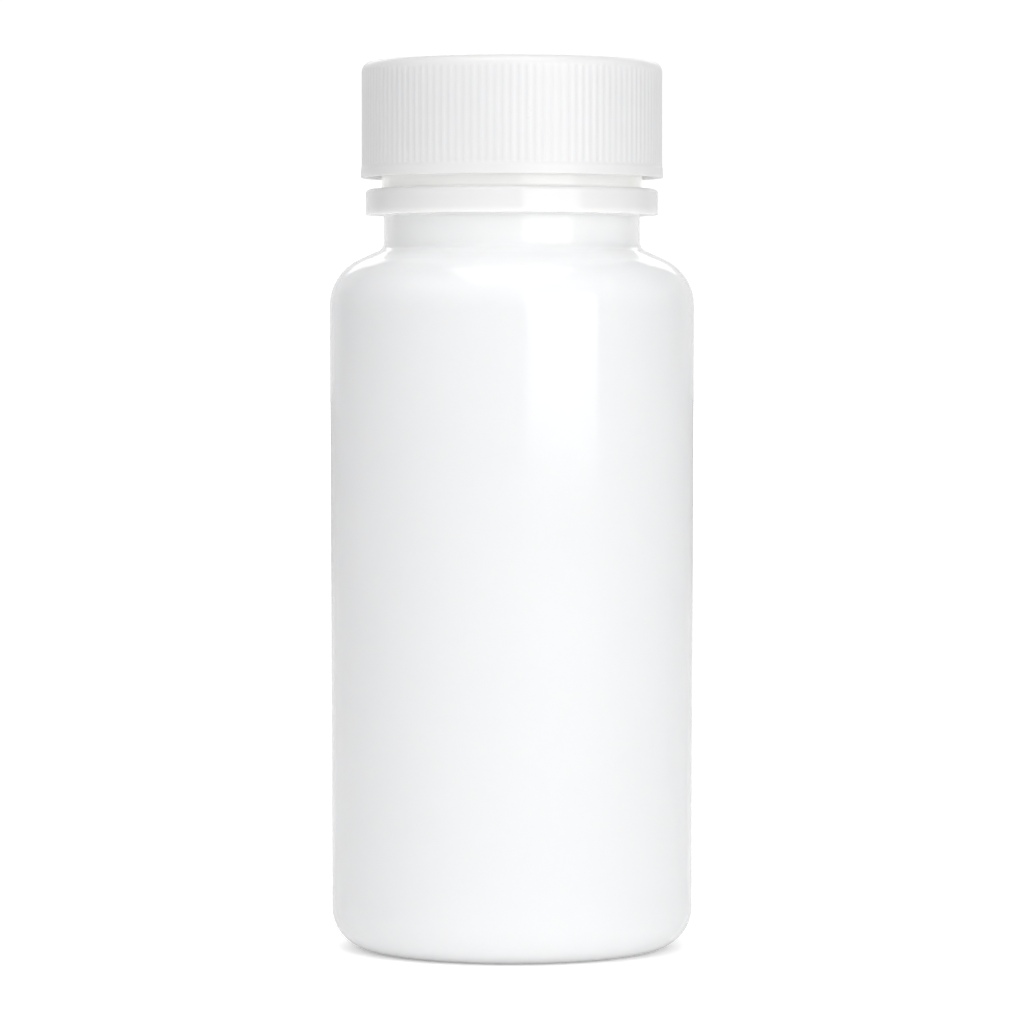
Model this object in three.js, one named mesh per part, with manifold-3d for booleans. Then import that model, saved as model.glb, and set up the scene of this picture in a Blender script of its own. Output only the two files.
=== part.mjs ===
// A wide-neck blow-moulded bottle with a ribbed screw cap and a foam sealing liner, closed.
// Millimetres, +Z up. The origin is the middle of the base, on the surface that the bottle stands on.

import * as THREE from "three";
import { mergeVertices } from "three/addons/utils/BufferGeometryUtils.js";
import Module from "manifold-3d";

const wasm = await Module();
wasm.setup();

// Body of the bottle
const BODY_RADIUS = 29.05; // at the top of the side wall
const BODY_DRAFT = 0.34; // how much narrower the side wall is at its foot
const BODY_HEIGHT = 102.36; // from the base to the start of the shoulder's round
const WALL = 1.1; // of the body, the shoulder and the lower neck
const BASE_CORNER = 6.4;
const PUSH_UP = 2.4; // how far the middle of the base stands above the contact ring
const PUSH_UP_RADIUS = 19.0; // inner edge of the contact ring
const PUSH_UP_FLANK = 5.0; // width of the slope between the ring and the raised middle
const PINCH_LENGTH = 25.0; // the seam that the closing mould leaves across the raised middle
const PINCH_WIDTH = 0.9;
const PINCH_HEIGHT = 0.5;
const SHOULDER_ROUND = 8.12;
const SHOULDER_SLOPE = THREE.MathUtils.degToRad(24.5);

// Neck and its finish
const NECK_RADIUS = 20.41; // below the collar
const NECK_FILLET = 1.4;
const LOWER_NECK_HEIGHT = 5.33; // from the corner of neck and shoulder to the underside of the collar
const COLLAR_RADIUS = 23.28;
const COLLAR_HEIGHT = 4.07;
const COLLAR_ROUND = 0.7;
const COLLAR_FILLET = 0.4; // where the collar meets the neck, above and below
const FINISH_RADIUS = 20.79; // root of the thread
const FINISH_WALL = 1.48; // behind the thread
const FINISH_HEIGHT = 17.0; // from the top of the collar to the rim of the mouth
const RIM_ROUND = 0.5;

// Screw thread, right-handed, with one start
const PITCH = 4.2;
const THREAD_DEPTH = 1.15;
const THREAD_ROOT_WIDTH = 2.0;
const THREAD_CREST_WIDTH = 0.9;
const THREAD_DROP = 3.0; // from the rim down to the middle of the thread's upper end
const THREAD_END_ANGLE = THREE.MathUtils.degToRad(60); // where the upper ends lie when the cap is closed
const BOTTLE_TURNS = 1.75;
const CAP_TURNS = 1.4;
const THREAD_FADE = THREE.MathUtils.degToRad(30); // arc over which a thread rises to its full depth
const THREAD_SINK = 0.3; // how deep a thread's foot is sunk in the wall that carries it
const THREAD_GAP = 0.3; // running gap round the thread's crests and under its loaded flank

// Screw cap
const SKIRT_GAP = 1.8; // between the closed cap's lower edge and the collar
const SKIRT_WALL = 1.33; // from the bore to the bottom of the grooves between the ribs
const PANEL = 1.48;
const CAP_CORNER = 1.7;
const RIB_COUNT = 120;
const RIB_DEPTH = 0.35;
const RIB_CREST_SHARE = 0.34; // of the pitch of the ribs
const RIB_GROOVE_SHARE = 0.3;
const BAND_HEIGHT = 1.45; // smooth band below the ribs
const BAND_STEP = 0.08; // how far it stands out from the ribs
const BAND_FLARE = 0.07; // how much wider it is at its lower edge
const BAND_EDGE = 0.2; // chamfer at its lower edge
const BAND_CHAMFER = 0.6; // slope from its top down into the grooves between the ribs
const LEAD_IN = 0.4; // chamfer at the mouth of the skirt

// Foam liner, held in the cap by a bead
const LINER_THICKNESS = 1.2;
const SEAT_GAP = 0.3; // above and below the liner, and round it
const BEAD_HEIGHT = 1.0;
const BEAD_GRIP = 0.35; // how far the bead reaches under the liner
const BEAD_CREST = 0.2; // flat on the bead's top

// Facets
const OUTER_SEGMENTS = 60;
const INNER_SEGMENTS = 40;
const OUTER_ARC_STEPS = 6;
const INNER_ARC_STEPS = 4;
const CAP_INNER_SEGMENTS = 48;
const CAP_CORNER_STEPS = 4;
const SMALL_ARC_STEPS = 3;
const FLANK_STEPS = 4; // down the slope round the raised middle of the base
const THREAD_STEPS_PER_TURN = 40;
const CUT_MARGIN = 1.0; // how far a cutting solid runs past the face that it cuts

// Heights that follow from the sizes above
const BASE_RADIUS = BODY_RADIUS - BODY_DRAFT;
const SHOULDER_CENTRE_R = BODY_RADIUS - SHOULDER_ROUND;
const SHOULDER_END_R = SHOULDER_CENTRE_R + SHOULDER_ROUND * Math.sin(SHOULDER_SLOPE);
const SHOULDER_END_Z = BODY_HEIGHT + SHOULDER_ROUND * Math.cos(SHOULDER_SLOPE);
const NECK_CORNER_Z = SHOULDER_END_Z + (SHOULDER_END_R - NECK_RADIUS) * Math.tan(SHOULDER_SLOPE);
const NECK_FOOT_Z = NECK_CORNER_Z + NECK_FILLET * Math.tan((Math.PI / 2 - SHOULDER_SLOPE) / 2);
const COLLAR_BOTTOM_Z = NECK_CORNER_Z + LOWER_NECK_HEIGHT;
const COLLAR_TOP_Z = COLLAR_BOTTOM_Z + COLLAR_HEIGHT;
const RIM_Z = COLLAR_TOP_Z + FINISH_HEIGHT;
const BORE_RADIUS = FINISH_RADIUS - FINISH_WALL;

// Sizes of the closure, with heights above the rim of the mouth
const CAP_BORE_RADIUS = FINISH_RADIUS + THREAD_DEPTH + THREAD_GAP;
const LINER_RADIUS = CAP_BORE_RADIUS - SEAT_GAP;
const PANEL_UNDERSIDE = LINER_THICKNESS + 2 * SEAT_GAP;
const CAP_TOP = PANEL_UNDERSIDE + PANEL;
const SKIRT_EDGE = SKIRT_GAP - FINISH_HEIGHT;
const GROOVE_RADIUS = CAP_BORE_RADIUS + SKIRT_WALL;
const RIB_RADIUS = GROOVE_RADIUS + RIB_DEPTH;
const BAND_RADIUS = RIB_RADIUS + BAND_STEP;
const RIB_FOOT = SKIRT_EDGE + BAND_HEIGHT;

// A closed geometry as a solid that can be cut and joined.
function toSolid(geometry) {
  const bare = geometry.clone();
  bare.deleteAttribute("normal");
  bare.deleteAttribute("uv");
  const merged = mergeVertices(bare, 1e-4);
  const corners = Array.from(merged.index.array);
  const triVerts = [];
  for (let i = 0; i < corners.length; i += 3) {
    const [a, b, c] = corners.slice(i, i + 3);
    const flat = a === b || b === c || c === a;
    if (!flat) triVerts.push(a, b, c);
  }
  return new wasm.Manifold(
    new wasm.Mesh({
      numProp: 3,
      vertProperties: merged.attributes.position.array,
      triVerts: new Uint32Array(triVerts),
    }),
  );
}

function toMesh(name, solid, material) {
  const { vertProperties, triVerts } = solid.getMesh();
  const geometry = new THREE.BufferGeometry();
  geometry.setAttribute("position", new THREE.BufferAttribute(new Float32Array(vertProperties), 3));
  geometry.setIndex(new THREE.BufferAttribute(new Uint32Array(triVerts), 1));
  const shaded = geometry.toNonIndexed();
  shaded.computeVertexNormals();
  const mesh = new THREE.Mesh(shaded, material);
  mesh.name = name;
  return mesh;
}

const at = (r, z) => new THREE.Vector2(r, z);

// Points along an arc of a profile. Angles are measured from the direction that points away from the axis.
function arc(centreR, centreZ, radius, from, to, steps) {
  const points = [];
  for (let i = 0; i <= steps; i++) {
    const angle = from + ((to - from) * i) / steps;
    points.push(at(centreR + radius * Math.cos(angle), centreZ + radius * Math.sin(angle)));
  }
  return points;
}

// A solid of revolution. Its profile runs from the axis at the bottom, up the outside, back to the axis.
function revolve(profile, segments, phiStart = 0) {
  return toSolid(new THREE.LatheGeometry(profile, segments, phiStart).rotateX(Math.PI / 2));
}

// The same with one flat for each rib of the cap. The flats lie at the profile's radii, square to the ribs.
function revolveToRibs(profile) {
  const widen = 1 / Math.cos(Math.PI / RIB_COUNT);
  const widened = profile.map(({ x, y }) => at(x * widen, y));
  return revolve(widened, RIB_COUNT, Math.PI / RIB_COUNT);
}

// The bottle's side from the middle of the base to the foot of the neck. An inset of 0 gives the outside,
// and an inset of one wall gives the inside.
function bodyProfile(inset, steps) {
  const flankStart = PUSH_UP_RADIUS - PUSH_UP_FLANK;
  const flank = [];
  for (let i = 0; i <= FLANK_STEPS; i++) {
    const share = i / FLANK_STEPS;
    const height = (PUSH_UP * (1 + Math.cos(Math.PI * share))) / 2;
    flank.push(at(flankStart + PUSH_UP_FLANK * share, height + inset));
  }
  const cornerR = BASE_RADIUS - BASE_CORNER;
  const filletR = NECK_RADIUS + NECK_FILLET;
  const filletStart = 1.5 * Math.PI - SHOULDER_SLOPE;
  return [
    at(0, PUSH_UP + inset),
    ...flank,
    ...arc(cornerR, BASE_CORNER, BASE_CORNER - inset, -Math.PI / 2, 0, steps),
    ...arc(SHOULDER_CENTRE_R, BODY_HEIGHT, SHOULDER_ROUND - inset, 0, Math.PI / 2 - SHOULDER_SLOPE, steps),
    ...arc(filletR, NECK_FOOT_Z, NECK_FILLET + inset, filletStart, Math.PI, SMALL_ARC_STEPS),
  ];
}

// The outside of the neck from its foot to the rim: collar, then the wall that carries the thread.
function finishProfile() {
  const lowFilletZ = COLLAR_BOTTOM_Z - COLLAR_FILLET;
  const highFilletZ = COLLAR_TOP_Z + COLLAR_FILLET;
  const filletR = FINISH_RADIUS + COLLAR_FILLET;
  const roundR = COLLAR_RADIUS - COLLAR_ROUND;
  const roundZ = COLLAR_TOP_Z - COLLAR_ROUND;
  return [
    ...arc(NECK_RADIUS + COLLAR_FILLET, lowFilletZ, COLLAR_FILLET, Math.PI, Math.PI / 2, SMALL_ARC_STEPS),
    at(COLLAR_RADIUS, COLLAR_BOTTOM_Z),
    ...arc(roundR, roundZ, COLLAR_ROUND, 0, Math.PI / 2, SMALL_ARC_STEPS),
    ...arc(filletR, highFilletZ, COLLAR_FILLET, 1.5 * Math.PI, Math.PI, SMALL_ARC_STEPS),
    ...arc(FINISH_RADIUS - RIM_ROUND, RIM_Z - RIM_ROUND, RIM_ROUND, 0, Math.PI / 2, SMALL_ARC_STEPS),
    at(0, RIM_Z),
  ];
}

// The middle line of a thread's foot, climbing about the axis. The section that follows it lies in planes
// through the axis: its x points out of the wall and its y along the axis. Near both ends x is shortened,
// so the ridge sinks into the wall.
class ThreadPath extends THREE.Curve {
  constructor({ radius, outwards, turns, topZ, depth }) {
    super();
    this.radius = radius;
    this.outwards = outwards;
    this.sweep = turns * 2 * Math.PI;
    this.topZ = topZ;
    this.least = THREAD_SINK / 2 / (THREAD_SINK + depth);
  }

  angle(t) {
    return THREAD_END_ANGLE - this.sweep * (1 - t);
  }

  getPoint(t, target = new THREE.Vector3()) {
    const angle = this.angle(t);
    const z = this.topZ - (PITCH * this.sweep * (1 - t)) / (2 * Math.PI);
    return target.set(this.radius * Math.cos(angle), this.radius * Math.sin(angle), z);
  }

  rise(t) {
    const fromEnd = Math.min(t, 1 - t) * this.sweep;
    return THREE.MathUtils.lerp(this.least, 1, THREE.MathUtils.smoothstep(fromEnd, 0, THREAD_FADE));
  }

  computeFrenetFrames(steps) {
    const frames = { tangents: [], normals: [], binormals: [] };
    for (let i = 0; i <= steps; i++) {
      const angle = this.angle(i / steps);
      const around = new THREE.Vector3(-Math.sin(angle), Math.cos(angle), 0);
      const out = new THREE.Vector3(Math.cos(angle), Math.sin(angle), 0);
      if (!this.outwards) out.negate();
      frames.tangents.push(around);
      frames.binormals.push(new THREE.Vector3().crossVectors(around, out));
      frames.normals.push(out.clone().multiplyScalar(this.rise(i / steps)));
    }
    return frames;
  }
}

// How much a thread narrows on one side for each millimetre that it stands out.
const flankSlope = (depth) => (THREAD_ROOT_WIDTH - THREAD_CREST_WIDTH) / 2 / depth;

// A thread on a wall of the given radius, with topZ as the height of the middle of its upper end.
function thread({ wallRadius, outwards, depth, turns, topZ }) {
  const footHalf = THREAD_ROOT_WIDTH / 2 + flankSlope(depth) * THREAD_SINK;
  const crestHalf = THREAD_CREST_WIDTH / 2;
  const crestX = THREAD_SINK + depth;
  const section = new THREE.Shape([
    at(0, -footHalf),
    at(crestX, -crestHalf),
    at(crestX, crestHalf),
    at(0, footHalf),
  ]);
  const radius = outwards ? wallRadius - THREAD_SINK : wallRadius + THREAD_SINK;
  const extrudePath = new ThreadPath({ radius, outwards, turns, topZ, depth });
  const steps = Math.round(turns * THREAD_STEPS_PER_TURN);
  return toSolid(new THREE.ExtrudeGeometry(section, { steps, extrudePath }));
}

function bottleSolid() {
  const outside = revolve([...bodyProfile(0, OUTER_ARC_STEPS), ...finishProfile()], OUTER_SEGMENTS);
  const mouthRadius = BORE_RADIUS + RIM_ROUND;
  const inside = revolve(
    [
      ...bodyProfile(WALL, INNER_ARC_STEPS),
      at(NECK_RADIUS - WALL, COLLAR_BOTTOM_Z),
      at(BORE_RADIUS, COLLAR_TOP_Z),
      at(BORE_RADIUS, RIM_Z - RIM_ROUND),
      at(mouthRadius, RIM_Z),
      at(mouthRadius, RIM_Z + CUT_MARGIN),
      at(0, RIM_Z + CUT_MARGIN),
    ],
    INNER_SEGMENTS,
  );
  const ridge = thread({
    wallRadius: FINISH_RADIUS,
    outwards: true,
    depth: THREAD_DEPTH,
    turns: BOTTLE_TURNS,
    topZ: RIM_Z - THREAD_DROP,
  });
  const seamHeight = PINCH_HEIGHT + WALL / 2;
  const seam = new THREE.BoxGeometry(PINCH_LENGTH, PINCH_WIDTH, seamHeight);
  seam.translate(0, 0, PUSH_UP - PINCH_HEIGHT + seamHeight / 2);
  return outside.add(ridge).add(toSolid(seam)).subtract(inside);
}

// The ribbed outline of the cap, one trapezoid tooth for each rib.
function ribbedOutline() {
  const pitch = (2 * Math.PI) / RIB_COUNT;
  const crestHalf = (RIB_CREST_SHARE * pitch) / 2;
  const grooveHalf = (RIB_GROOVE_SHARE * pitch) / 2;
  const outline = [];
  for (let i = 0; i < RIB_COUNT; i++) {
    const crest = i * pitch;
    const groove = crest + pitch / 2;
    const corners = [
      [RIB_RADIUS, crest - crestHalf],
      [RIB_RADIUS, crest + crestHalf],
      [GROOVE_RADIUS, groove - grooveHalf],
      [GROOVE_RADIUS, groove + grooveHalf],
    ];
    for (const [radius, angle] of corners) {
      outline.push(at(radius * Math.cos(angle), radius * Math.sin(angle)));
    }
  }
  return new THREE.Shape(outline);
}

// The cap's outer form: ribs that run out into the rounded top edge, above a smooth flared band.
function capOutside() {
  const ribs = new THREE.ExtrudeGeometry(ribbedOutline(), {
    depth: CAP_TOP + CUT_MARGIN - RIB_FOOT,
    bevelEnabled: false,
  });
  ribs.translate(0, 0, RIB_FOOT);
  const roundR = RIB_RADIUS - CAP_CORNER;
  const roundZ = CAP_TOP - CAP_CORNER;
  const envelope = revolveToRibs([
    at(0, SKIRT_EDGE),
    at(RIB_RADIUS + RIB_DEPTH, SKIRT_EDGE),
    at(RIB_RADIUS + RIB_DEPTH, roundZ),
    ...arc(roundR, roundZ, CAP_CORNER, 0, Math.PI / 2, CAP_CORNER_STEPS),
    at(0, CAP_TOP),
  ]);
  const flared = BAND_RADIUS + BAND_FLARE;
  const band = revolveToRibs([
    at(0, SKIRT_EDGE),
    at(flared - BAND_EDGE, SKIRT_EDGE),
    at(flared, SKIRT_EDGE + BAND_EDGE),
    at(BAND_RADIUS, RIB_FOOT),
    at(BAND_RADIUS - BAND_CHAMFER, RIB_FOOT + BAND_CHAMFER),
    at(0, RIB_FOOT + BAND_CHAMFER),
  ]);
  return toSolid(ribs).intersect(envelope).add(band);
}

// The hollow of the cap: lead-in, bore, the bead that holds the liner, and the liner's pocket.
function capInside() {
  const beadRadius = LINER_RADIUS - BEAD_GRIP;
  const beadTop = SEAT_GAP;
  const beadMiddle = beadTop - BEAD_HEIGHT / 2;
  const leadRadius = CAP_BORE_RADIUS + LEAD_IN;
  return revolve(
    [
      at(0, SKIRT_EDGE - CUT_MARGIN),
      at(leadRadius, SKIRT_EDGE - CUT_MARGIN),
      at(leadRadius, SKIRT_EDGE),
      at(CAP_BORE_RADIUS, SKIRT_EDGE + LEAD_IN),
      at(CAP_BORE_RADIUS, beadTop - BEAD_HEIGHT),
      at(beadRadius, beadMiddle - BEAD_CREST / 2),
      at(beadRadius, beadMiddle + BEAD_CREST / 2),
      at(CAP_BORE_RADIUS, beadTop),
      at(CAP_BORE_RADIUS, PANEL_UNDERSIDE),
      at(0, PANEL_UNDERSIDE),
    ],
    CAP_INNER_SEGMENTS,
  );
}

// The cap's thread bears on the underside of the bottle's, one running gap below it.
function capThread() {
  const depth = CAP_BORE_RADIUS - FINISH_RADIUS - THREAD_GAP;
  const overlap = CAP_BORE_RADIUS - FINISH_RADIUS;
  const halfWidths = THREAD_ROOT_WIDTH - flankSlope(THREAD_DEPTH) * overlap;
  return thread({
    wallRadius: CAP_BORE_RADIUS,
    outwards: false,
    depth,
    turns: CAP_TURNS,
    topZ: -THREAD_DROP - halfWidths - THREAD_GAP,
  });
}

function capSolid() {
  return capOutside().subtract(capInside()).add(capThread());
}

function linerSolid() {
  const disc = new THREE.CylinderGeometry(LINER_RADIUS, LINER_RADIUS, LINER_THICKNESS, CAP_INNER_SEGMENTS);
  disc.rotateX(Math.PI / 2);
  disc.translate(0, 0, SEAT_GAP + LINER_THICKNESS / 2);
  return toSolid(disc);
}

const bottlePlastic = new THREE.MeshStandardMaterial({ color: 0xf3f4f6, roughness: 0.3, metalness: 0 });
const capPlastic = new THREE.MeshStandardMaterial({ color: 0xf0f1f3, roughness: 0.36, metalness: 0 });
const linerFoam = new THREE.MeshStandardMaterial({ color: 0xf4f3ee, roughness: 0.85, metalness: 0 });

const closure = new THREE.Group();
closure.position.z = RIM_Z;
closure.add(toMesh("screw_cap", capSolid(), capPlastic));
closure.add(toMesh("sealing_liner", linerSolid(), linerFoam));

const group = new THREE.Group();
group.add(toMesh("bottle", bottleSolid(), bottlePlastic));
group.add(closure);

export default group;
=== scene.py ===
import math

import bpy
import numpy as np
from bpy.props import FloatProperty, FloatVectorProperty, IntProperty, PointerProperty
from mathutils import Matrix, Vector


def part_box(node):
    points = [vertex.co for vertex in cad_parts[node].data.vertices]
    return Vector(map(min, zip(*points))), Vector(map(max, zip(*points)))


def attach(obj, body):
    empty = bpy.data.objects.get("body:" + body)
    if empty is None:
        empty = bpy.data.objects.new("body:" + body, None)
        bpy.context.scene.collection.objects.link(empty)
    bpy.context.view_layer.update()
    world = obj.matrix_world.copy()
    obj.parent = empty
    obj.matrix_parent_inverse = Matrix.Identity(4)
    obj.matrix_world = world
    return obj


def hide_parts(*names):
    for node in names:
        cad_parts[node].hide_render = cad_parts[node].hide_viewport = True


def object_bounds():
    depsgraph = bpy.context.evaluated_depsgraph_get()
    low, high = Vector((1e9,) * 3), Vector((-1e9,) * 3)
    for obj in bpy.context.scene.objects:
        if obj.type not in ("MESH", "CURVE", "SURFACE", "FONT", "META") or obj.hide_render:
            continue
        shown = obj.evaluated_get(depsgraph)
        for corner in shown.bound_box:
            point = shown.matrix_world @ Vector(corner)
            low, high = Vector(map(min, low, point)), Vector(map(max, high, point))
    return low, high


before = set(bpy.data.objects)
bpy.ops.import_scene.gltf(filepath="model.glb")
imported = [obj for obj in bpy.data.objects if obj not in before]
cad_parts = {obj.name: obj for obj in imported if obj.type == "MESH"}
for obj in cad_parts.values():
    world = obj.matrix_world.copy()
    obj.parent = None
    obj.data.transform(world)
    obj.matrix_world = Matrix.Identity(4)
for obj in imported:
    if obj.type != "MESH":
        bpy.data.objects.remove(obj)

bl_info = {
    "name": "Wide-neck bottle",
    "version": (1, 0, 0),
    "blender": (4, 5, 0),
    "location": "3D View > Sidebar > Bottle",
    "description": "Shell, ribbed screw cap and foam liner of a white wide-neck bottle, on a pale table",
    "category": "Add Mesh",
}

# Lowest and highest corners, in metres
CAD_LOW, CAD_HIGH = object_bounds()
SHELL_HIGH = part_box("bottle")[1]
CAP_LOW, CAP_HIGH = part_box("screw_cap")
LINER_LOW, LINER_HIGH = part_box("sealing_liner")
MM = 0.001
TURN = 2 * math.pi

# Points round each piece
SHELL_COLUMNS = 280
COLUMNS_PER_RIB = 6
LINER_COLUMNS = 192

# Moulded plastic: refraction, tint of the light that comes through, how far each colour travels, and the
# swing of tone and of roughness
PLASTIC_IOR = 1.52
THROUGH_TINT = (1.0, 0.99, 0.93)
TRAVEL_BY_COLOUR = (1.0, 0.92, 0.84)
DRIFT_TONE = 0.985
SMEAR_SWING = 0.08
GRAIN_SWING = 0.04


def length(name, description, default):
    """A property that holds a length in metres."""
    return FloatProperty(name=name, description=description, default=default, precision=5,
                         unit="LENGTH", subtype="DISTANCE")


def angle(name, description, degrees):
    """A property that holds an angle."""
    return FloatProperty(name=name, description=description, default=math.radians(degrees),
                         unit="ROTATION", subtype="ANGLE")


def share(name, description, default):
    """A property that holds a number from 0 to 1."""
    return FloatProperty(name=name, description=description, default=default, min=0, max=1, subtype="FACTOR")


def number(name, description, default):
    """A property that holds a plain number."""
    return FloatProperty(name=name, description=description, default=default)


def place(name, description, default):
    """A property that holds a point in space, in metres."""
    return FloatVectorProperty(name=name, description=description, default=default, size=3,
                               unit="LENGTH", subtype="TRANSLATION")


def colour(name, description, default):
    """A property that holds a linear colour."""
    return FloatVectorProperty(name=name, description=description, default=default, min=0, max=1,
                               size=3, subtype="COLOR")


class ShellSizes(bpy.types.PropertyGroup):
    """Sizes of the blow-moulded shell."""
    body_radius: length("Body radius", "Side wall, at its top", SHELL_HIGH.x)
    body_draft: length("Draft", "How much narrower the side wall is at its foot", 0.34 * MM)
    body_height: length("Body height", "From the table to the start of the shoulder's round", 102.36 * MM)
    wall: length("Wall", "Thickness of body, shoulder and lower neck", 1.1 * MM)
    base_corner: length("Base corner", "Round between side wall and base", 6.4 * MM)
    push_up: length("Push-up", "Height of the raised middle of the base", 2.4 * MM)
    ring_inner: length("Contact ring", "Inner radius of the ring that meets the table", 19.0 * MM)
    flank: length("Push-up slope", "Width of the slope round the raised middle", 5.0 * MM)
    shoulder_round: length("Shoulder round", "Round between side wall and shoulder", 8.12 * MM)
    shoulder_slope: angle("Shoulder slope", "Rise of the shoulder towards the neck", 24.5)
    neck_radius: length("Neck radius", "Neck below the collar", 20.41 * MM)
    neck_fillet: length("Neck fillet", "Hollow round between shoulder and neck", 1.4 * MM)
    lower_neck: length("Lower neck", "From the foot of the neck to the collar", 5.33 * MM)
    collar_radius: length("Collar radius", "Outer edge of the collar", 23.28 * MM)
    collar_height: length("Collar height", "Thickness of the collar", 4.07 * MM)
    collar_round: length("Collar round", "Round of the collar's upper edge", 0.7 * MM)
    collar_edge: length("Collar edge", "Tiny round of the collar's lower edge", 0.14 * MM)
    collar_fillet: length("Collar fillet", "Hollow rounds where the collar meets the neck", 0.4 * MM)
    finish_radius: length("Finish radius", "Neck between the threads", 20.79 * MM)
    finish_wall: length("Finish wall", "Thickness behind the thread", 1.48 * MM)
    rim_round: length("Rim round", "Round of the mouth's edges", 0.5 * MM)
    seam_length: length("Pinch-off length", "Seam across the raised middle of the base", 25.0 * MM)
    seam_width: length("Pinch-off width", "Width of that seam", 0.9 * MM)
    seam_height: length("Pinch-off height", "How far that seam stands out", 0.5 * MM)
    parting_height: length("Parting line", "How far the mould's parting line stands out", 0.045 * MM)
    parting_width: length("Parting line width", "Half width of the parting line", 0.16 * MM)


class ThreadSizes(bpy.types.PropertyGroup):
    """Sizes of the right-handed screw thread."""
    pitch: length("Pitch", "Rise of the thread in one turn", 4.2 * MM)
    depth: length("Depth", "How far the thread stands out", 1.15 * MM)
    root: length("Root width", "Width of the thread at its foot", 2.0 * MM)
    crest: length("Crest width", "Width of the thread at its crest", 0.9 * MM)
    drop: length("Drop", "From the rim to the middle of the thread's upper end", 3.0 * MM)
    gap: length("Gap", "Running gap between the two threads", 0.3 * MM)
    end_angle: angle("End angle", "Where the upper ends lie", 60)
    fade: angle("Fade", "Arc over which a thread rises from the wall", 30)
    shell_turns: number("Shell turns", "Turns of the thread on the neck", 1.75)
    cap_turns: number("Cap turns", "Turns of the thread in the cap", 1.4)


class CapSizes(bpy.types.PropertyGroup):
    """Sizes of the ribbed screw cap."""
    wall: length("Skirt wall", "From the bore to the bottom of the grooves", 1.61 * MM)
    rib_depth: length("Rib depth", "How far the ribs stand out of the grooves", 0.07 * MM)
    ribs: IntProperty(name="Ribs", description="Number of ribs round the skirt", default=120, min=12)
    crest_share: share("Crest share", "Share of a rib's pitch that is crest", 0.20)
    groove_share: share("Groove share", "Share of a rib's pitch that is groove", 0.28)
    corner: length("Corner", "Round of the upper edge", 1.7 * MM)
    band: length("Band", "Height of the smooth band below the ribs", 1.45 * MM)
    band_step: length("Band step", "How far the band stands out from the ribs", 0.08 * MM)
    flare: length("Flare", "How much wider the band is at its lower edge", 0.07 * MM)
    edge: length("Edge", "Round of the lower edge", 0.2 * MM)
    slope: length("Band slope", "Slope from the band into the grooves", 0.6 * MM)
    lead_in: length("Lead-in", "Slope at the mouth of the skirt", 0.4 * MM)
    bead: length("Bead", "Height of the bead that holds the liner", 1.0 * MM)
    bead_grip: length("Bead grip", "How far the bead reaches under the liner", 0.35 * MM)
    gate: length("Gate mark", "Radius of the moulding gate's dimple in the middle of the top", 1.6 * MM)
    gate_depth: length("Gate depth", "Depth of that dimple", 0.22 * MM)


class LinerSizes(bpy.types.PropertyGroup):
    """Sizes of the foam liner."""
    edge: length("Edge", "Round of the disc's edges", 0.25 * MM)
    print_depth: length("Rim print", "Depth of the ring that the mouth has pressed into the foam", 0.12 * MM)


class Finishes(bpy.types.PropertyGroup):
    """Colours, gloss and translucency of the three plastics."""
    shell: colour("Shell", "White HDPE", (0.878, 0.88, 0.88))
    # Painted shade: the collar's darker tone stands in for less light coming through the thick collar
    collar_painted_shade: colour("Shell shade", "HDPE of the solid collar", (0.785, 0.785, 0.79))
    shell_gloss: share("Shell roughness", "Mean roughness of the shell", 0.10)
    shell_grain: share("Shell grain", "Strength of the fine grain of the shell", 0.10)
    cap: colour("Cap", "White PP", (0.765, 0.765, 0.768))
    # Painted shade: the darker tone of the cap's upper edge and top stands in for less light through the
    # thick plastic there
    cap_edge_painted_shade: colour("Cap shade", "PP of the solid upper edge", (0.75, 0.75, 0.75))
    cap_gloss: share("Cap roughness", "Mean roughness of the cap", 0.30)
    cap_grain: share("Cap grain", "Strength of the fine grain of the cap", 0.15)
    # Painted light: a lighter tone in the grooves stands in for light coming through the wall between the
    # ribs
    groove_painted_light: number("Groove tone", "Tone in the grooves between the ribs, against the cap's", 1.03)
    milky: share("Milkiness", "Share of the light that travels inside the plastic", 0.6)
    travel: length("Travel", "How far that light travels", 2.5 * MM)
    gap_glow: share("Gap glow", "Light that comes through the neck between cap and collar", 0.26)
    neck_glow: share("Neck glow", "Light that comes through the neck below the collar", 0.08)
    liner: colour("Liner", "Closed-cell foam", (0.86, 0.855, 0.82))


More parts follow.
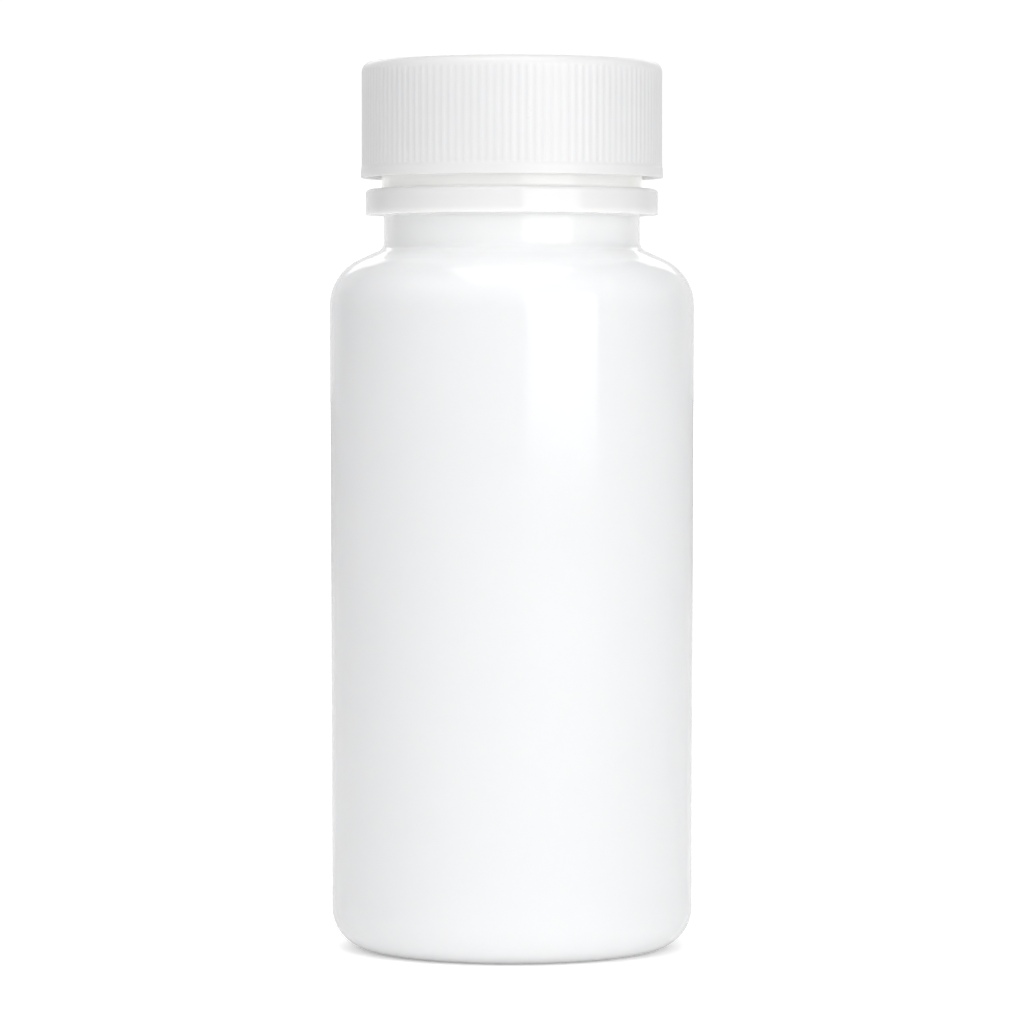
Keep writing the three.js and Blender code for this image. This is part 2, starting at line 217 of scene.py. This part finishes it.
class StageSizes(bpy.types.PropertyGroup):
    """Camera, table and lights."""
    distance: length("Camera distance", "From the bottle's axis to the lens", 0.79863)
    height: length("Camera height", "Above the table", 0.09868)
    tilt: angle("Camera tilt", "How far the camera looks down", 2.09)
    lens: number("Lens", "Focal length for a 36 mm sensor", 176.05)
    table: length("Table", "Half width of the table", 6.0)
    table_glow: number("Table glow", "Light that the lit table adds by itself", 0.12)
    seen_glow: number("Seen glow", "More of it that only the camera sees", 0.2)
    far_glow: number("Far glow", "Still more of that, a few metres away", 0.7)
    shade_start: length("Shade start", "From the axis to where the seen glow starts, at the foot", 18 * MM)
    shade_end: length("Shade end", "From the axis to where the seen glow is full", 30 * MM)
    key: number("Softbox", "Power in watts of the softbox on the right", 4.0)
    key_place: place("Softbox place", "Middle of the softbox", (0.636, -1.018, 0.37))
    key_width: length("Softbox width", "Width of the softbox", 1.04)
    key_height: length("Softbox height", "Height of the softbox", 0.65)
    top: number("Top panel", "Power in watts of the panel above", 6.0)
    top_place: place("Top panel place", "Middle of the panel above", (0, -0.3, 1.25))
    top_width: length("Top panel width", "Width of the square panel above", 1.0)
    back: number("Back panel", "Power in watts of the panel behind", 1.3)
    back_place: place("Back panel place", "Middle of that panel, above the camera's view", (0, 1.0, 0.6))
    back_width: length("Back panel width", "Width of the panel behind", 1.0)
    back_height: length("Back panel height", "Height of the panel behind", 0.35)
    sky: number("Backdrop", "Brightness of the white backdrop to the camera", 1.08)


GROUPS = {
    "bottle_shell": ShellSizes,
    "bottle_thread": ThreadSizes,
    "bottle_cap": CapSizes,
    "bottle_liner": LinerSizes,
    "bottle_finishes": Finishes,
    "bottle_stage": StageSizes,
}


# Shapes

def step(x):
    """0 below 0, 1 above 1, and a smooth S between them."""
    x = np.clip(x, 0, 1)
    return x * x * (3 - 2 * x)


def spread(start, end, spacing, hold=0.12 * MM):
    """Points between two ends of a straight run, without the ends, at about the given spacing.

    Two more points lie close to the ends, so that the flat run shades flat beside a small round."""
    run = np.linalg.norm(end - start)
    if run < 3 * hold:
        return np.empty((0, 2))
    count = max(int(run / spacing), 1)
    places = np.linspace(0, 1, count + 1)[1:-1]
    places = np.unique(np.concatenate(([hold / run], places, [1 - hold / run])))
    return start + places[:, None] * (end - start)


def rounded(corners, arc_step=math.radians(9)):
    """A profile (radius, height) through straight runs whose corners are rounded.

    Each corner is (radius, height, round, spacing of the run that follows). A round is the arc that touches
    both runs: its ends lie round * tan(turn / 2) from the corner, where turn is the change of direction."""
    corners = np.array(corners, float)
    places = corners[:, :2]
    ends, pieces = [], []
    for i in range(1, len(corners) - 1):
        before = places[i] - places[i - 1]
        after = places[i + 1] - places[i]
        before, after = before / np.linalg.norm(before), after / np.linalg.norm(after)
        side = before[0] * after[1] - before[1] * after[0]
        turn = math.acos(np.clip(before @ after, -1, 1))
        radius = corners[i, 2]
        reach = radius * math.tan(turn / 2)
        if radius == 0 or turn < 1e-6:
            pieces.append(places[i][None])
            continue
        normal = np.array([-before[1], before[0]]) * np.sign(side)
        centre = places[i] - before * reach + normal * radius
        steps = max(int(math.ceil(turn / arc_step)), 3)
        swept = np.linspace(0, turn, steps + 1)[:, None]
        pieces.append(centre - normal * radius * np.cos(swept) + before * radius * np.sin(swept))
    pieces = [places[:1], *pieces, places[-1:]]
    for piece, following, spacing in zip(pieces[:-1], pieces[1:], corners[:, 3]):
        ends += [piece, spread(piece[-1], following[0], spacing)]
    ends.append(pieces[-1])
    return np.concatenate(ends)


def columns(count, crowd=0.0):
    """Angles round the axis. crowd brings them closer together at 0 and at half a turn, by the formula
    angle = u - crowd / 2 * sin(2 u)."""
    u = np.arange(count) * TURN / count
    return u - crowd / 2 * np.sin(2 * u)


def turned_mesh(name, radius, height, around):
    """A closed surface of revolution with a relief: x = radius cos(angle), y = radius sin(angle), z = height.

    radius and height are arrays of profile point by angle. The first and the last row stand for the points on
    the axis and become one point each. The faces are turned outwards by the sign of the enclosed volume."""
    rows, count = radius.shape
    x, y = radius * np.cos(around), radius * np.sin(around)
    grid = np.stack((x, y, height), -1)
    inner = grid[1:-1].reshape(-1, 3)
    poles = np.array([[0, 0, height[0].mean()], [0, 0, height[-1].mean()]])
    points = np.concatenate((inner, poles))
    here = np.arange(count)
    beside = (here + 1) % count
    start = (np.arange(rows - 3) * count)[:, None]
    quads = np.stack((start + here, start + beside, start + count + beside, start + count + here), -1)
    quads = quads.reshape(-1, 4)
    first, last = len(inner), len(inner) + 1
    top = (rows - 3) * count
    fan_low = np.stack((beside, here, np.full(count, first)), -1)
    fan_high = np.stack((top + here, top + beside, np.full(count, last)), -1)
    triangles = np.concatenate((quads[:, [0, 1, 2]], quads[:, [0, 2, 3]], fan_low, fan_high))
    a, b, c = (points[triangles[:, k]] for k in range(3))
    if np.einsum("ij,ij->i", a, np.cross(b, c)).sum() < 0:
        quads, fan_low, fan_high = quads[:, ::-1], fan_low[:, ::-1], fan_high[:, ::-1]
    mesh = bpy.data.meshes.new(name)
    mesh.from_pydata(points.tolist(), [], quads.tolist() + fan_low.tolist() + fan_high.tolist())
    mesh.shade_smooth()
    mesh.update()
    piece = bpy.data.objects.new(name, mesh)
    bpy.context.scene.collection.objects.link(piece)
    return piece


def thread_relief(sizes, turns, top, height, around):
    """How far a thread stands out of its wall at each point, from 0 to 1.

    The ridge's middle lies at top - pitch * back / turn, where back is the angle gone back from the upper
    end. Across the ridge the relief falls in a smooth S from 1 near half the crest width to 0 near half the
    root width, and it fades over the first and the last part of the sweep."""
    sweep = turns * TURN
    relief = np.zeros(np.broadcast(height, around).shape)
    for lap in range(int(math.ceil(turns)) + 1):
        back = np.mod(sizes.end_angle - around, TURN) + lap * TURN
        middle = top - sizes.pitch * back / TURN
        across = (sizes.root / 2 - np.abs(height - middle)) / ((sizes.root - sizes.crest) / 2)
        ends = step(np.minimum(back, sweep - back) / sizes.fade)
        relief = np.maximum(relief, step(across * 0.8 + 0.1) * ends * (across > -0.1))
    return relief


def shell_profile(s):
    """The shell's outline: the base from the axis outwards, up the outside to the rim, then down inside."""
    tilt = math.tan(s.shoulder_slope)
    base_radius = s.body_radius - s.body_draft
    flank_start = s.ring_inner - s.flank
    shoulder_end_r = s.body_radius - s.shoulder_round * (1 - math.sin(s.shoulder_slope))
    shoulder_end_z = s.body_height + s.shoulder_round * math.cos(s.shoulder_slope)
    neck_foot = shoulder_end_z + (shoulder_end_r - s.neck_radius) * tilt
    shoulder_corner = neck_foot - (s.body_radius - s.neck_radius) * tilt
    collar_low = neck_foot + s.lower_neck
    collar_top = collar_low + s.collar_height
    rim = SHELL_HIGH.z
    bore = s.finish_radius - s.finish_wall
    neck_bore = s.neck_radius - s.wall
    drop = s.wall / math.cos(s.shoulder_slope)
    fine, wide = 0.19 * MM, 9 * MM
    ease = 0.45 * s.flank
    outside = [
        (0, s.push_up, 0, 0.35 * MM),
        (flank_start + 0.3 * s.flank, s.push_up, ease, MM),
        (s.ring_inner - 0.3 * s.flank, 0, ease, MM),
        (base_radius, 0, s.base_corner, wide),
        (s.body_radius, shoulder_corner, s.shoulder_round, 2 * MM),
        (s.neck_radius, neck_foot, s.neck_fillet, 2 * MM),
        (s.neck_radius, collar_low, s.collar_fillet, MM),
        (s.collar_radius, collar_low, s.collar_edge, MM),
        (s.collar_radius, collar_top, s.collar_round, MM),
        (s.finish_radius, collar_top, s.collar_fillet, fine),
        (s.finish_radius, rim, s.rim_round, MM),
        (bore, rim, s.rim_round, 4 * MM),
    ]
    inside = [
        (bore, collar_top, 0, 2 * MM),
        (neck_bore, collar_low, 0, 2 * MM),
        (neck_bore, neck_foot + s.wall * tilt - drop, s.neck_fillet + s.wall, 2 * MM),
        (s.body_radius - s.wall, shoulder_corner + s.wall * tilt - drop, s.shoulder_round - s.wall, wide),
        (base_radius - s.wall, s.wall, s.base_corner - s.wall, 2 * MM),
        (s.ring_inner - 0.3 * s.flank, s.wall, ease, MM),
        (flank_start + 0.3 * s.flank, s.push_up + s.wall, ease, 2 * MM),
        (0, s.push_up + s.wall, 0, MM),
    ]
    if abs(bore - neck_bore) < 0.01 * MM:
        inside = inside[2:]
    return rounded(outside + inside), collar_top, rim


def shell_mesh(s, t):
    """The shell with its thread, its parting line and the pinch-off seam under the base.

    radius = profile + depth * thread + parting line, and height = profile - seam, where the seam is a smooth
    ridge along X on the raised middle and the parting line a bell curve of the distance from the XZ plane.
    The whole outside is set back by the line's height, so that the line ends at the shell's full width."""
    profile, collar_top, rim = shell_profile(s)
    around = columns(SHELL_COLUMNS, crowd=0.8)[None]
    r, z = profile[:, :1], profile[:, 1:]
    outer = np.arange(len(r))[:, None] <= np.argmax(z[:, 0])
    thread = thread_relief(t, t.shell_turns, rim - t.drop, z, around)
    on_finish = outer & (np.abs(r - s.finish_radius) < 0.02 * MM) & (z > collar_top)
    radius = r + np.where(on_finish, t.depth * thread, 0)
    from_plane = np.abs(radius * np.sin(around)) / s.parting_width
    parted = outer & (r > s.ring_inner) & (z < collar_top)
    radius = radius + s.parting_height * (np.exp(-from_plane ** 2 / 2) * parted - outer)
    end_fade, side_fade = 0.8 * MM, 0.3 * MM
    along = (s.seam_length / 2 - np.abs(radius * np.cos(around))) / end_fade
    across = (s.seam_width / 2 - np.abs(radius * np.sin(around))) / side_fade
    under = outer & (z < 1.1 * s.push_up) & (r < s.ring_inner - s.flank * 0.7)
    seam = s.seam_height * step(along) * step(across + 0.5) * under
    height = z - seam
    return turned_mesh("moulded_shell", radius, height, around)


def cap_mesh(c, t, s):
    """The cap. Outside, radius = the larger of rib and band, cut off by the rounded top edge. Inside,
    radius = bore - depth * thread. A rib is a smooth trapezoid of the angle, and the gate's dimple a bowl in
    the top with a small stub in its middle."""
    bore = s.finish_radius + t.depth + t.gap
    crest = cap_crest(c, t, s)
    groove = crest - c.rib_depth
    band = crest + c.band_step
    low, top = CAP_LOW.z, CAP_HIGH.z
    rib_foot = low + c.band
    underside = LINER_HIGH.z + t.gap
    bead_top = LINER_LOW.z
    bead_radius = LINER_HIGH.x - c.bead_grip
    thread_low = bead_top - c.bead
    slope_top = rib_foot + c.slope
    tiny = 0.1 * MM
    corners = [
        (0, top, 0, 0.4 * MM),
        (1.3 * c.gate, top, 0, 5 * MM),
        (crest, top, c.corner, 4 * MM),
        (crest, slope_top, 0, 0.12 * MM),
        (band, rib_foot, tiny, 0.6 * MM),
        (band + c.flare, low, c.edge, MM),
        (bore + c.lead_in, low, tiny, MM),
        (bore, low + c.lead_in, tiny, 0.45 * MM),
        (bore, thread_low, tiny, 0.3 * MM),
        (bead_radius, (thread_low + bead_top) / 2, 2 * tiny, 0.3 * MM),
        (bore, bead_top, tiny, MM),
        (bore, underside, 2 * tiny, 7 * MM),
        (0, underside, 0, MM),
    ]
    profile = rounded(corners, arc_step=math.radians(13))
    around = columns(c.ribs * COLUMNS_PER_RIB)[None]
    r, z = profile[:, :1], profile[:, 1:]
    rows = np.arange(len(r))[:, None]
    lowest = np.argmin(z[:, 0])
    outer = rows <= lowest
    phase = np.abs(np.mod(around * c.ribs / TURN + 0.5, 1) - 0.5) * 2
    rib = groove + c.rib_depth * (1 - step((phase - c.crest_share) / (1 - c.crest_share - c.groove_share)))
    ribbed = outer & (z > rib_foot) & (r > groove - 2 * c.rib_depth)
    slope = groove + (band - groove) * np.clip((slope_top - z) / c.slope, 0, 1)
    side = np.where(z < slope_top, np.maximum(rib, slope), np.minimum(rib, r))
    radius = np.where(ribbed, side, r)
    thread = thread_relief(t, t.cap_turns, SHELL_HIGH.z - t.drop - cap_thread_drop(t), z, around)
    on_bore = (rows > lowest) & (np.abs(r - bore) < 0.02 * MM) & (z < thread_low)
    radius = radius - np.where(on_bore, t.depth * thread, 0)
    on_top = rows < len(r) // 2
    bowl = c.gate_depth * (1 - step(r / c.gate)) * on_top
    stub = 0.6 * c.gate_depth * (1 - step(r / (0.35 * c.gate))) * on_top
    return turned_mesh("ribbed_cap", radius, z - bowl + stub + 0 * around, around)


def cap_crest(c, t, s):
    """Radius of the ribs' crests: neck, thread, running gap, wall and rib together."""
    return s.finish_radius + t.depth + t.gap + c.wall + c.rib_depth


def cap_thread_drop(t):
    """How far the cap's thread lies below the shell's: two half widths where they overlap, and the gap."""
    narrowing = (t.root - t.crest) / 2 / t.depth
    return t.root - narrowing * (t.depth + t.gap) + t.gap


def liner_mesh(liner, s):
    """The liner: a disc with rounded edges, and a shallow ring where the rim of the mouth has pressed it."""
    radius, low, high = LINER_HIGH.x, LINER_LOW.z, LINER_HIGH.z
    corners = [
        (0, low, 0, 0.6 * MM),
        (radius, low, liner.edge, MM),
        (radius, high, liner.edge, 3 * MM),
        (0, high, 0, MM),
    ]
    profile = rounded(corners, arc_step=math.radians(18))
    around = columns(LINER_COLUMNS)[None]
    r, z = profile[:, :1], profile[:, 1:]
    bore = s.finish_radius - s.finish_wall
    fade = 0.8 * MM
    rise = step((r - bore) / fade + 0.5)
    fall = 1 - step((r - s.finish_radius) / fade + 0.25)
    print_in = liner.print_depth * rise * fall * (z < (low + high) / 2)
    return turned_mesh("foam_liner", r + 0 * around, z + print_in + 0 * around, around)


# Materials

class Socket:
    """A shader socket that takes part in Python arithmetic. Each operator adds one Math node."""

    def __init__(self, graph, link):
        self.graph = graph
        self.link = link

    def math(self, operation, *values):
        return self.graph.node("Math", {"operation": operation}, *values)

    def __add__(self, other):
        return self.math("ADD", self, other)

    def __sub__(self, other):
        return self.math("SUBTRACT", self, other)

    def __rsub__(self, other):
        return self.math("SUBTRACT", other, self)

    def __mul__(self, other):
        return self.math("MULTIPLY", self, other)

    __radd__ = __add__
    __rmul__ = __mul__


class Graph:
    """The node tree of a material or of the world, built from expressions."""

    def __init__(self, tree):
        self.tree = tree
        tree.nodes.clear()

    def node(self, kind, settings=None, *values, out=0, **named):
        """Adds a shader node. Its settings are set first, then its sockets by order or by name."""
        made = self.tree.nodes.new("ShaderNode" + kind)
        for key, value in (settings or {}).items():
            setattr(made, key, value)
        by_name = [(made.inputs[key.replace("_", " ")], value) for key, value in named.items()]
        for socket, value in [*zip(made.inputs, values), *by_name]:
            self.feed(socket, value)
        return Socket(self, made.outputs[out]) if made.outputs else made

    def feed(self, socket, value):
        if isinstance(value, Socket):
            self.tree.links.new(value.link, socket)
        elif value is not None:
            socket.default_value = value

    def noise(self, scale, detail, stretch=(1, 1, 1)):
        """Noise on object coordinates. scale is in features per metre, and stretch scales each axis."""
        places = self.node("TexCoord", out="Object")
        mapped = self.node("Mapping", {"vector_type": "POINT"}, Vector=places, Scale=stretch)
        return self.node("TexNoise", {}, Vector=mapped, Scale=scale, Detail=detail)

    def axis(self, vector, index):
        """One of the three numbers of a vector."""
        return Socket(self, self.node("SeparateXYZ", {}, vector).link.node.outputs[index])

    def apart(self, value, middle):
        """How far a value lies from another, without its sign."""
        return self.node("Math", {"operation": "ABSOLUTE"}, value - middle)

    def ease(self, value, start, end):
        """0 at start, 1 at end, and a smooth S between them."""
        return self.node("MapRange", {"interpolation_type": "SMOOTHSTEP"}, value, start, end, 0.0, 1.0)

    def blend(self, factor, first, second):
        """A colour between two others."""
        mixed = self.tree.nodes.new("ShaderNodeMix")
        mixed.data_type = "RGBA"
        for index, value in zip((0, 6, 7), (factor, first, second)):
            self.feed(mixed.inputs[index], value)
        return Socket(self, mixed.outputs[2])


def material(name):
    made = bpy.data.materials.new(name)
    made.use_nodes = True
    return made, Graph(made.node_tree)


def opaque(rgb):
    return (*rgb, 1.0)


def plastic(name, light, shade, shaded, gloss, grain, look, lit=(), painted_light_radii=None):
    """Moulded white plastic: a faint drift of tone, painted shade (a darker tone between two given heights,
    which stands in for less light coming through the thick plastic there), a gloss that varies from place to
    place, light that travels in the wall, and the shallow waviness and fine grain of a moulded skin. Each
    entry of lit is a height, a half width and a strength, for the light that comes through the wall where the
    outside lies in shade. The last argument, when given, is a radius with the usual tone and a smaller one
    with a lighter
    tone: painted light in the grooves between ribs, standing in for light coming through the wall, which is
    less thick there."""
    made, g = material(name)
    where = g.node("TexCoord", out="Object")
    height = g.axis(where, 2)
    half = (shaded[1] - shaded[0]) / 2
    # Painted shade: 1 in the band between the two given heights, where the tone is darkened below
    inside = g.ease(g.apart(height, (shaded[0] + shaded[1]) / 2), 1.2 * half, 0.8 * half)
    drift = g.noise(28, detail=1.0, stretch=(1, 1, 0.35))
    tone = g.blend(drift, opaque(light), opaque([DRIFT_TONE * v for v in light]))
    # Painted light: the grooves between the ribs take a lighter tone
    if painted_light_radii:
        flat = g.node("VectorMath", {"operation": "MULTIPLY"}, where, (1, 1, 0))
        radius = g.node("VectorMath", {"operation": "LENGTH"}, flat, out="Value")
        tone = g.blend(g.ease(radius, *painted_light_radii), tone, opaque([look.groove_painted_light * v for v in light]))
    # Painted shade: that band takes the darker tone, standing in for less light through the thick plastic
    tone = g.blend(inside, tone, opaque(shade))
    smears = g.noise(90, detail=2.0, stretch=(1, 1, 0.5))
    fine = g.noise(2600, detail=0.0)
    roughness = gloss + (smears - 0.5) * SMEAR_SWING + (fine - 0.5) * GRAIN_SWING
    waves = g.noise(38, detail=0.0, stretch=(1, 1, 0.3))
    relief = g.node("Bump", {}, Strength=0.25, Distance=0.9 * MM, Height=waves)
    skin = g.node("Bump", {}, Strength=grain, Distance=0.03 * MM, Height=fine, Normal=relief)
    shader = g.node("BsdfPrincipled", {"subsurface_method": "RANDOM_WALK"}, Base_Color=tone,
                    Roughness=roughness, Normal=skin, IOR=PLASTIC_IOR)
    sockets = shader.link.node.inputs
    through = (0, 0, 0, 1)
    for middle, reach, strength in lit:
        near = g.ease(g.apart(height, middle), reach, 0.7 * reach)
        through = g.blend(near, through, opaque([strength * v for v in THROUGH_TINT]))
    if lit:
        g.feed(sockets["Emission Color"], through)
        sockets["Emission Strength"].default_value = 1.0
    sockets["Subsurface Weight"].default_value = look.milky
    sockets["Subsurface Radius"].default_value = TRAVEL_BY_COLOUR
    sockets["Subsurface Scale"].default_value = look.travel
    g.node("OutputMaterial", {}, Surface=shader)
    return made


def foam(name, light):
    """Closed-cell foam: small cells as bump and a dry, even surface."""
    made, g = material(name)
    cells = g.node("TexVoronoi", {"feature": "F1"}, Vector=g.node("TexCoord", out="Object"), Scale=2600.0)
    drift = g.noise(120, detail=3.0)
    tone = g.blend(drift, opaque(light), opaque([0.95 * v for v in light]))
    skin = g.node("Bump", {}, Strength=0.5, Distance=0.12 * MM, Height=cells)
    roughness = 0.78 + (drift - 0.5) * 0.1
    shader = g.node("BsdfPrincipled", {}, Base_Color=tone, Roughness=roughness, Normal=skin, IOR=1.4)
    g.node("OutputMaterial", {}, Surface=shader)
    return made


def dress(piece, made, body, node):
    """Gives a piece its material and lets it stand for a CAD node on that node's body."""
    piece.data.materials.clear()
    piece.data.materials.append(made)
    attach(piece, body)
    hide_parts(node)


# Stage

def table_material(s):
    """A white lit table. The camera sees it a little brighter, most of all far away and not at all at the
    bottle's foot, which leaves the contact shadow in view. From underneath the table isn't there."""
    made, g = material("white_table")
    soft = g.noise(3, detail=1.0)
    tone = g.blend(soft, (0.93, 0.93, 0.93, 1), (0.95, 0.95, 0.95, 1))
    away = g.node("VectorMath", {"operation": "LENGTH"}, g.node("TexCoord", out="Object"), out="Value")
    extra = s.seen_glow * g.ease(away, s.shade_start, s.shade_end) + s.far_glow * g.ease(away, 0.3, 2.0)
    level = s.table_glow + extra * g.node("LightPath", out="Is Camera Ray")
    light = g.blend(level, (0, 0, 0, 1), (1, 1, 1, 1))
    shader = g.node("BsdfPrincipled", {}, Base_Color=tone, Roughness=0.55, Emission_Color=light,
                    Emission_Strength=1.0)
    clear = g.node("BsdfTransparent", {}, (1, 1, 1, 1))
    under = g.node("NewGeometry", out="Backfacing")
    both = g.node("MixShader", {}, under, shader, clear)
    g.node("OutputMaterial", {}, Surface=both)
    return made


def table_mesh(half):
    """A flat square sheet at z = 0: x and y run from -half to half."""
    cells = 8
    count = cells + 1
    side = np.linspace(-half, half, count)
    x, y = np.meshgrid(side, side)
    points = np.stack((x, y, 0 * x), -1).reshape(-1, 3)
    row, column = np.meshgrid(np.arange(cells), np.arange(cells), indexing="ij")
    corner = (row * count + column).ravel()
    faces = np.stack((corner, corner + 1, corner + count + 1, corner + count), -1)
    mesh = bpy.data.meshes.new("white_table")
    mesh.from_pydata(points.tolist(), [], faces.tolist())
    mesh.update()
    return mesh


def softbox(name, spot, aim, width, height, power):
    """A rectangular area light at one point, facing another."""
    light = bpy.data.lights.new(name, "AREA")
    light.shape = "RECTANGLE"
    light.size, light.size_y = width, height
    light.energy = power
    made = bpy.data.objects.new(name, light)
    made.location = spot
    away = np.array(aim, float) - np.array(spot, float)
    pitch = math.atan2(math.hypot(away[0], away[1]), -away[2])
    made.rotation_euler = (pitch, 0, math.atan2(-away[0], away[1]))
    bpy.context.scene.collection.objects.link(made)
    return made


def backdrop(sky):
    """A white studio round the bottle, and plain white where the camera sees it.

    With c and s the cosine and the sine of the direction's angle from the camera's side, the horizon is dim
    at the sides, and brighter in front and behind. Higher up it is brightest in front and fades round the
    sides to the back, and overhead it is dim. All of it but the top is a little brighter on the left."""
    world = bpy.data.worlds.new("white_studio")
    bpy.context.scene.world = world
    world.use_nodes = True
    g = Graph(world.node_tree)
    way = g.node("TexCoord", out="Generated")
    level = g.node("VectorMath", {"operation": "MULTIPLY"}, way, (1, -1, 0))
    flat = g.node("VectorMath", {"operation": "NORMALIZE"}, level)
    s, c, up = g.axis(flat, 0), g.axis(flat, 1), g.axis(way, 2)
    horizon = 0.29 - 0.03 * s + 0.48 * g.ease(c, -0.2, 1.0) + 0.56 * g.ease(c, -0.55, -0.9)
    raised = 0.25 - 0.12 * s + 0.92 * g.ease(c, -0.6, 1.0)
    overhead = 0.28
    side = horizon + g.ease(up, 0.2, 0.7) * (raised - horizon)
    glow = side + g.ease(up, 0.7, 0.97) * (overhead - side)
    around = g.node("Background", {}, (1.0, 0.995, 0.998, 1), glow)
    seen = g.node("Background", {}, (1, 1, 1, 1), sky)
    ray = g.node("LightPath", out="Is Camera Ray")
    g.node("OutputWorld", {}, Surface=g.node("MixShader", {}, ray, around, seen))


# Operators

class MakeShell(bpy.types.Operator):
    """Make the blow-moulded shell with its thread, seam and parting line."""
    bl_idname = "bottle.make_shell"
    bl_label = "Moulded shell"

    def execute(self, context):
        scene = context.scene
        look, sizes = scene.bottle_finishes, scene.bottle_shell
        piece = shell_mesh(sizes, scene.bottle_thread)
        collar_top = shell_profile(sizes)[1]
        collar_low = collar_top - sizes.collar_height
        gap = (collar_top + 1.1 * MM, 1.3 * MM, look.gap_glow)
        neck = (collar_low - sizes.lower_neck / 2, 0.7 * sizes.lower_neck, look.neck_glow)
        # The collar's band gets painted shade, a darker tone
        made = plastic("white_hdpe", look.shell, look.collar_painted_shade, (collar_low, collar_top), look.shell_gloss,
                       look.shell_grain, look, lit=(gap, neck))
        dress(piece, made, "bottle", "bottle")
        return {"FINISHED"}


class MakeCap(bpy.types.Operator):
    """Make the ribbed screw cap with its inner thread."""
    bl_idname = "bottle.make_cap"
    bl_label = "Ribbed cap"

    def execute(self, context):
        scene = context.scene
        look, sizes = scene.bottle_finishes, scene.bottle_cap
        piece = cap_mesh(sizes, scene.bottle_thread, scene.bottle_shell)
        # The cap's upper edge and top get painted shade, a darker tone
        edge = (CAP_HIGH.z - 1.5 * MM, CAP_HIGH.z + 1.5 * MM)
        crest = cap_crest(sizes, scene.bottle_thread, scene.bottle_shell)
        # The grooves between the ribs get painted light, a lighter tone
        made = plastic("white_pp", look.cap, look.cap_edge_painted_shade, edge, look.cap_gloss, look.cap_grain, look,
                       painted_light_radii=(crest, crest - sizes.rib_depth))
        dress(piece, made, "cap", "screw_cap")
        return {"FINISHED"}


class MakeLiner(bpy.types.Operator):
    """Make the foam liner that the cap holds."""
    bl_idname = "bottle.make_liner"
    bl_label = "Foam liner"

    def execute(self, context):
        scene = context.scene
        piece = liner_mesh(scene.bottle_liner, scene.bottle_shell)
        dress(piece, foam("liner_foam", scene.bottle_finishes.liner), "liner", "sealing_liner")
        return {"FINISHED"}


class MakeStage(bpy.types.Operator):
    """Make the white table, the soft lights, the backdrop and the camera."""
    bl_idname = "bottle.make_stage"
    bl_label = "Table, lights and camera"

    def execute(self, context):
        scene = context.scene
        sizes = scene.bottle_stage
        table = bpy.data.objects.new("white_table", table_mesh(sizes.table))
        table.data.materials.append(table_material(sizes))
        scene.collection.objects.link(table)
        backdrop(sizes.sky)
        level = (0, 0, sizes.key_place[2])
        middle = (0, 0, CAD_HIGH.z / 2)
        softbox("right_softbox", sizes.key_place, level, sizes.key_width, sizes.key_height, sizes.key)
        softbox("top_panel", sizes.top_place, middle, sizes.top_width, sizes.top_width, sizes.top)
        softbox("back_panel", sizes.back_place, middle, sizes.back_width, sizes.back_height, sizes.back)
        view = bpy.data.cameras.new("camera")
        view.sensor_width = 36.0
        view.lens = sizes.lens
        view.clip_start, view.clip_end = 0.01, 100.0
        camera = bpy.data.objects.new("camera", view)
        camera.location = (0, -sizes.distance, sizes.height)
        camera.rotation_euler = (math.pi / 2 - sizes.tilt, 0, 0)
        scene.collection.objects.link(camera)
        scene.camera = camera
        scene.view_settings.view_transform = "Standard"
        return {"FINISHED"}


OPERATORS = (MakeShell, MakeCap, MakeLiner, MakeStage)


class BottlePanel(bpy.types.Panel):
    """Lists the operators of the bottle, piece by piece, with the sizes and colours that they use."""
    bl_idname = "VIEW3D_PT_bottle"
    bl_label = "Wide-neck bottle"
    bl_space_type = "VIEW_3D"
    bl_region_type = "UI"
    bl_category = "Bottle"

    def draw(self, context):
        for operator in OPERATORS:
            self.layout.operator(operator.bl_idname)
        for name, group in GROUPS.items():
            box = self.layout.box()
            box.label(text=group.__doc__)
            for key in group.__annotations__:
                box.prop(getattr(context.scene, name), key)


def register():
    for group in GROUPS.values():
        bpy.utils.register_class(group)
    for name, group in GROUPS.items():
        setattr(bpy.types.Scene, name, PointerProperty(type=group))
    for cls in (*OPERATORS, BottlePanel):
        bpy.utils.register_class(cls)


def unregister():
    for cls in reversed((*OPERATORS, BottlePanel)):
        bpy.utils.unregister_class(cls)
    for name, group in GROUPS.items():
        delattr(bpy.types.Scene, name)
        bpy.utils.unregister_class(group)


def main():
    """Registers the add-on and makes the bottle and its stage."""
    register()
    bpy.ops.bottle.make_shell()
    bpy.ops.bottle.make_cap()
    bpy.ops.bottle.make_liner()
    bpy.ops.bottle.make_stage()


if __name__ == "__main__":
    main()
